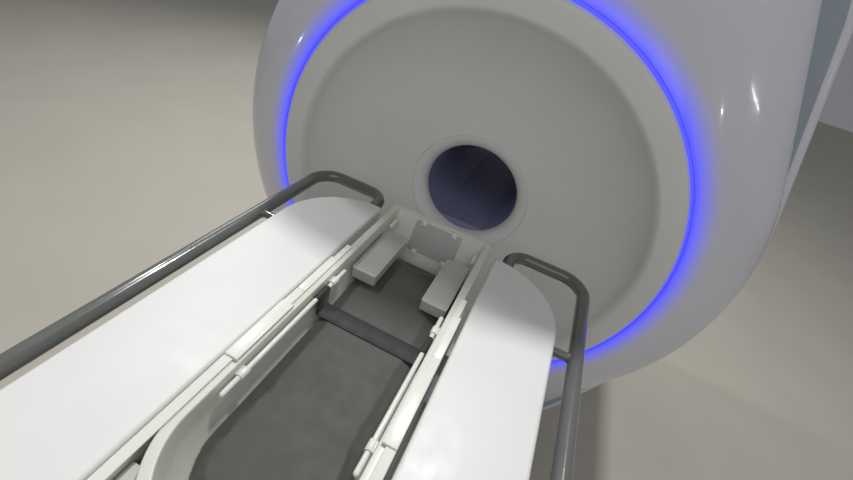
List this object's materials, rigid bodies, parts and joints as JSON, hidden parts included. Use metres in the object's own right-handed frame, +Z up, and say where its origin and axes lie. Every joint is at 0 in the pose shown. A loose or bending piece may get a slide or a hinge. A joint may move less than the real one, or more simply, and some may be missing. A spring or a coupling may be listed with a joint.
{
  "type": "mri scanner",
  "caption": "Small-bore MRI scanner with an ovoid gantry, a lit dish round the bore, and a docked castor trolley whose infant tray slides into the bore.",
  "frame": {"origin": "on the floor, straight under the isocentre of the bore", "axes": "+X to the right seen from the trolley's foot, +Y along the bore into the gantry, +Z up"},
  "size_m": [1.48, 2.4735, 2.0065],
  "materials": {
    "cover_white": "glossy moulded cover",
    "dish_grey": "fine matt moulding",
    "flare_grey": "fine matt moulding",
    "light_blue": "frosted light guide, lit",
    "channel_white": "moulded channel",
    "bore_navy": "dark smooth lining",
    "deck_navy": "dark smooth lining",
    "frame_grey": "satin paint",
    "plinth_grey": "satin moulding",
    "coil_beige": "glass-fibre tube",
    "gradient_brown": "cast resin",
    "vessel_steel": "brushed vessel skin",
    "shelf_white": "satin solid sheet",
    "guide_white": "glossy moulding",
    "pan_white": "satin moulding",
    "rail_grey": "glossy powder coat",
    "column_white": "satin powder coat",
    "chassis_grey": "satin powder coat",
    "fork_steel": "pressed steel",
    "tyre_grey": "moulded tread",
    "tray_grey": "satin moulding",
    "mattress_grey": "coated cloth",
    "pad_grey": "coated cloth",
    "plate_grey": "matt moulding",
    "peg_white": "smooth moulding",
    "strap_black": "woven webbing"
  },
  "bodies": {
    "gantry": {"front_fascia": "cover_white", "front_dish": "dish_grey", "bore_flare": "flare_grey", "light_ring": "light_blue", "light_channel": "channel_white", "front_frame": "frame_grey", "rear_frame": "frame_grey", "side_cover_left": "cover_white", "side_cover_right": "cover_white", "rear_cover": "cover_white", "rear_flare": "flare_grey", "bore_liner": "bore_navy", "bore_deck": "deck_navy", "rf_coil": "coil_beige", "gradient_coil": "gradient_brown", "magnet_vessel": "vessel_steel", "cold_head": "vessel_steel", "service_turret": "vessel_steel", "magnet_legs": "frame_grey", "base_frame": "frame_grey", "plinth": "plinth_grey"},
    "trolley": {"cradle_pan": "pan_white", "side_rail_front_left": "guide_white", "side_rail_front_right": "guide_white", "side_rail_rear_left": "guide_white", "side_rail_rear_right": "guide_white", "shelf_left": "shelf_white", "shelf_right": "shelf_white", "handrail_left": "rail_grey", "handrail_right": "rail_grey", "shelf_brackets": "chassis_grey", "column": "column_white", "chassis": "chassis_grey"},
    "tray": {"tray": "tray_grey", "foot_board": "tray_grey", "mattress": "mattress_grey", "head_plate": "plate_grey", "plate_tabs": "peg_white", "head_peg_left": "peg_white", "head_peg_right": "peg_white", "head_pad_left": "pad_grey", "head_pad_right": "pad_grey", "strap_bar_left": "peg_white", "strap_bar_right": "peg_white", "bar_clips": "peg_white", "strap": "strap_black"},
    "castor_1": {"castor_fork_1": "fork_steel", "castor_axle_1": "fork_steel"},
    "wheel_1": {"castor_wheel_1": "tyre_grey"},
    "castor_2": {"castor_fork_2": "fork_steel", "castor_axle_2": "fork_steel"},
    "wheel_2": {"castor_wheel_2": "tyre_grey"},
    "castor_3": {"castor_fork_3": "fork_steel", "castor_axle_3": "fork_steel"},
    "wheel_3": {"castor_wheel_3": "tyre_grey"},
    "castor_4": {"castor_fork_4": "fork_steel", "castor_axle_4": "fork_steel"},
    "wheel_4": {"castor_wheel_4": "tyre_grey"}
  },
  "joints": [
    {"name": "dock_slide", "type": "slide", "parent": "gantry", "child": "trolley", "axis": [0, 1, 0], "range_m": [-0.8, 0]},
    {"name": "tray_slide", "type": "slide", "parent": "trolley", "child": "tray", "axis": [0, 1, 0], "range_m": [0, 0.78]},
    {"name": "castor_swivel_1", "type": "hinge", "parent": "trolley", "child": "castor_1", "pos_m": [-0.27, -0.93, 0.15], "axis": [0, 0, 1], "continuous": true},
    {"name": "wheel_spin_1", "type": "hinge", "parent": "castor_1", "child": "wheel_1", "pos_m": [-0.27, -0.958, 0.05], "axis": [1, 0, 0], "continuous": true},
    {"name": "castor_swivel_2", "type": "hinge", "parent": "trolley", "child": "castor_2", "pos_m": [0.27, -0.93, 0.15], "axis": [0, 0, 1], "continuous": true},
    {"name": "wheel_spin_2", "type": "hinge", "parent": "castor_2", "child": "wheel_2", "pos_m": [0.27, -0.958, 0.05], "axis": [1, 0, 0], "continuous": true},
    {"name": "castor_swivel_3", "type": "hinge", "parent": "trolley", "child": "castor_3", "pos_m": [-0.27, -1.71, 0.15], "axis": [0, 0, 1], "continuous": true},
    {"name": "wheel_spin_3", "type": "hinge", "parent": "castor_3", "child": "wheel_3", "pos_m": [-0.27, -1.738, 0.05], "axis": [1, 0, 0], "continuous": true},
    {"name": "castor_swivel_4", "type": "hinge", "parent": "trolley", "child": "castor_4", "pos_m": [0.27, -1.71, 0.15], "axis": [0, 0, 1], "continuous": true},
    {"name": "wheel_spin_4", "type": "hinge", "parent": "castor_4", "child": "wheel_4", "pos_m": [0.27, -1.738, 0.05], "axis": [1, 0, 0], "continuous": true}
  ]
}
